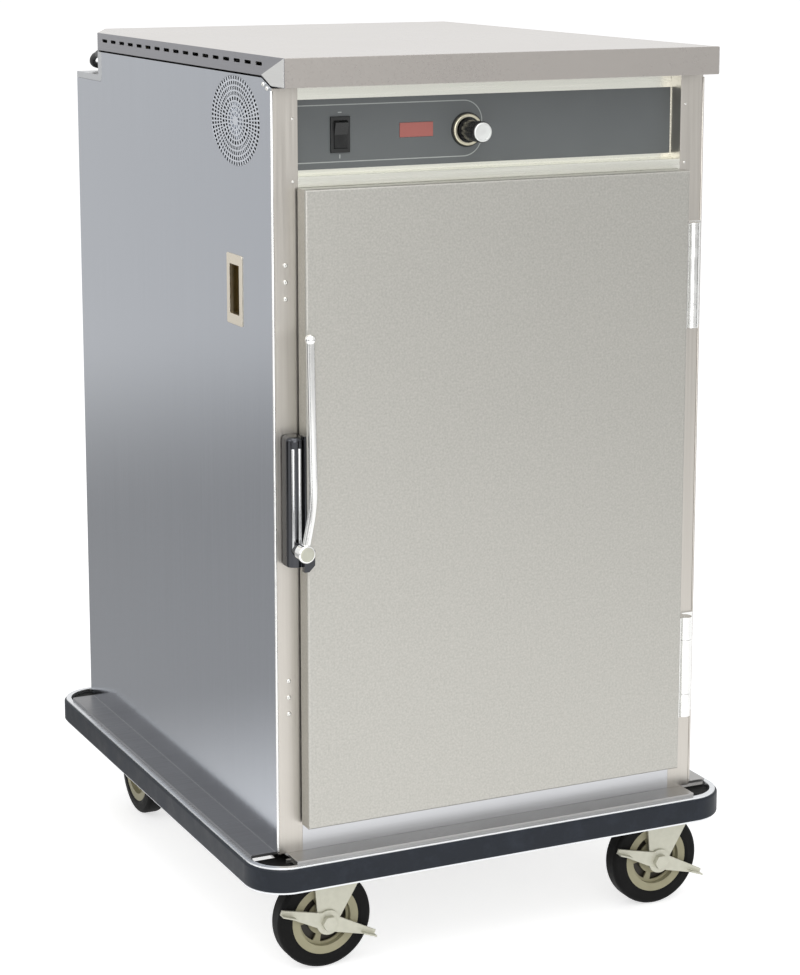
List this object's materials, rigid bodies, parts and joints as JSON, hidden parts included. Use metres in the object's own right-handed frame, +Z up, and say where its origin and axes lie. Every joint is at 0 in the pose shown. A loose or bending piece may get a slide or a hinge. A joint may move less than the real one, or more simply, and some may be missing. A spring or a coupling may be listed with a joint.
{
  "type": "heated transport cabinet",
  "caption": "Wheeled stainless steel heated cabinet with an insulated hinged door, pan slides, top controls and a bumper round its base.",
  "frame": {"origin": "on the floor below the middle of the outer box, without the supply cord", "axes": "+X to the right seen from the front, +Y to the back, +Z up; the door faces -Y"},
  "size_m": [0.711, 0.8594, 1.21],
  "materials": {
    "side_sheet": "polished stainless sheet",
    "cover_sheet": "satin stainless sheet",
    "frame_sheet": "satin stainless sheet",
    "door_sheet": "brushed stainless sheet",
    "inner_sheet": "mill finish stainless sheet",
    "base_steel": "satin stainless plate",
    "bumper_rail": "extruded aluminium",
    "bumper_vinyl": "dark vinyl bumper",
    "caster_zinc": "zinc plated steel",
    "caster_hub": "moulded nylon",
    "caster_tyre": "moulded polyurethane tread",
    "jamb_plastic": "extruded breaker strip",
    "insulation": "glass fibre batt",
    "gasket": "extruded silicone",
    "vent_sheet": "punched stainless sheet",
    "fan_plastic": "moulded nylon",
    "heater_sheath": "heat-stained alloy sheath",
    "blower_steel": "galvanised steel",
    "overlay": "printed polycarbonate film",
    "switch_plastic": "moulded nylon",
    "display": "red filter window",
    "dial_metal": "plated ring",
    "knob_plastic": "moulded phenolic",
    "hinge_chrome": "chromed casting",
    "latch_chrome": "chromed casting",
    "lever_chrome": "chromed rod",
    "pull_steel": "satin stainless pressing",
    "cord_rubber": "moulded rubber"
  },
  "bodies": {
    "cabinet": {"back_panel": "side_sheet", "base_frame": "base_steel", "blower_motor": "blower_steel", "bottom_rail": "frame_sheet", "bumper_rail": "bumper_rail", "bumper_strip": "bumper_vinyl", "caster_plates": "caster_zinc", "cavity_liner": "inner_sheet", "control_fascia": "frame_sheet", "control_overlay": "overlay", "cord_gland": "cord_rubber", "cord_hank": "cord_rubber", "cord_lead": "cord_rubber", "dial_ring": "dial_metal", "display_window": "display", "fan_frame": "fan_plastic", "flush_pulls": "pull_steel", "front_stiles": "frame_sheet", "header_rail": "frame_sheet", "heater_element": "heater_sheath", "hinge_frame_leaves": "hinge_chrome", "hinge_pins": "hinge_chrome", "jamb_strips": "jamb_plastic", "latch_strike": "latch_chrome", "pan_slides": "inner_sheet", "power_plug": "cord_rubber", "rear_forks": "caster_zinc", "rear_step": "side_sheet", "side_panel_left": "side_sheet", "side_panel_right": "side_sheet", "switch_bezel": "switch_plastic", "thermostat": "switch_plastic", "top_cover": "cover_sheet", "vent_grille": "vent_sheet", "wall_insulation": "insulation"},
    "door": {"door_skin": "door_sheet", "door_core": "insulation", "door_liner": "inner_sheet", "door_gasket": "gasket", "hinge_door_leaves": "hinge_chrome", "latch_body": "latch_chrome"},
    "lever": {"latch_lever": "lever_chrome"},
    "control_knob": {"knob": "knob_plastic"},
    "power_rocker": {"rocker": "switch_plastic"},
    "swivel_left": {"front_fork_left": "caster_zinc", "front_axle_left": "caster_zinc"},
    "swivel_right": {"front_fork_right": "caster_zinc", "front_axle_right": "caster_zinc"},
    "front_wheel_left": {"front_hub_left": "caster_hub", "front_tyre_left": "caster_tyre"},
    "front_wheel_right": {"front_hub_right": "caster_hub", "front_tyre_right": "caster_tyre"},
    "brake_left": {"brake_pedal_left": "caster_zinc"},
    "brake_right": {"brake_pedal_right": "caster_zinc"},
    "rear_wheel_left": {"rear_hub_left": "caster_hub", "rear_tyre_left": "caster_tyre"},
    "rear_wheel_right": {"rear_hub_right": "caster_hub", "rear_tyre_right": "caster_tyre"},
    "cooling_fan": {"fan_rotor": "fan_plastic"},
    "circulation_blower": {"blower_wheel": "blower_steel"}
  },
  "joints": [
    {"name": "door_hinge", "type": "hinge", "parent": "cabinet", "child": "door", "pos_m": [0.2887, -0.39275, 0.632], "axis": [0, 0, 1], "range_deg": [0, 180]},
    {"name": "lever_pivot", "type": "hinge", "parent": "door", "child": "lever", "pos_m": [-0.291, -0.42125, 0.591], "axis": [0, 1, 0], "range_deg": [-45, 45]},
    {"name": "knob_turn", "type": "hinge", "parent": "cabinet", "child": "control_knob", "pos_m": [-0.0295, -0.35035, 1.1085], "axis": [0, 1, 0], "range_deg": [0, 300]},
    {"name": "rocker_tilt", "type": "hinge", "parent": "cabinet", "child": "power_rocker", "pos_m": [-0.209, -0.35035, 1.109], "axis": [1, 0, 0], "range_deg": [-16, 0]},
    {"name": "swivel_left_turn", "type": "hinge", "parent": "cabinet", "child": "swivel_left", "pos_m": [-0.255, -0.33675, 0.157], "axis": [0, 0, 1], "continuous": true},
    {"name": "swivel_right_turn", "type": "hinge", "parent": "cabinet", "child": "swivel_right", "pos_m": [0.255, -0.33675, 0.157], "axis": [0, 0, 1], "continuous": true},
    {"name": "front_wheel_left_spin", "type": "hinge", "parent": "swivel_left", "child": "front_wheel_left", "pos_m": [-0.235, -0.33675, 0.067], "axis": [0, 1, 0], "continuous": true},
    {"name": "front_wheel_right_spin", "type": "hinge", "parent": "swivel_right", "child": "front_wheel_right", "pos_m": [0.275, -0.33675, 0.067], "axis": [0, 1, 0], "continuous": true},
    {"name": "brake_left_press", "type": "hinge", "parent": "swivel_left", "child": "brake_left", "pos_m": [-0.235, -0.35875, 0.067], "axis": [0, 1, 0], "range_deg": [-25, 0]},
    {"name": "brake_right_press", "type": "hinge", "parent": "swivel_right", "child": "brake_right", "pos_m": [0.275, -0.35875, 0.067], "axis": [0, 1, 0], "range_deg": [-25, 0]},
    {"name": "rear_wheel_left_spin", "type": "hinge", "parent": "cabinet", "child": "rear_wheel_left", "pos_m": [-0.255, 0.31525, 0.067], "axis": [1, 0, 0], "continuous": true},
    {"name": "rear_wheel_right_spin", "type": "hinge", "parent": "cabinet", "child": "rear_wheel_right", "pos_m": [0.255, 0.31525, 0.067], "axis": [1, 0, 0], "continuous": true},
    {"name": "cooling_fan_spin", "type": "hinge", "parent": "cabinet", "child": "cooling_fan", "pos_m": [-0.286, -0.25175, 1.1225], "axis": [1, 0, 0], "continuous": true},
    {"name": "blower_spin", "type": "hinge", "parent": "cabinet", "child": "circulation_blower", "pos_m": [0, -0.00675, 1.057], "axis": [0, 0, 1], "continuous": true}
  ]
}
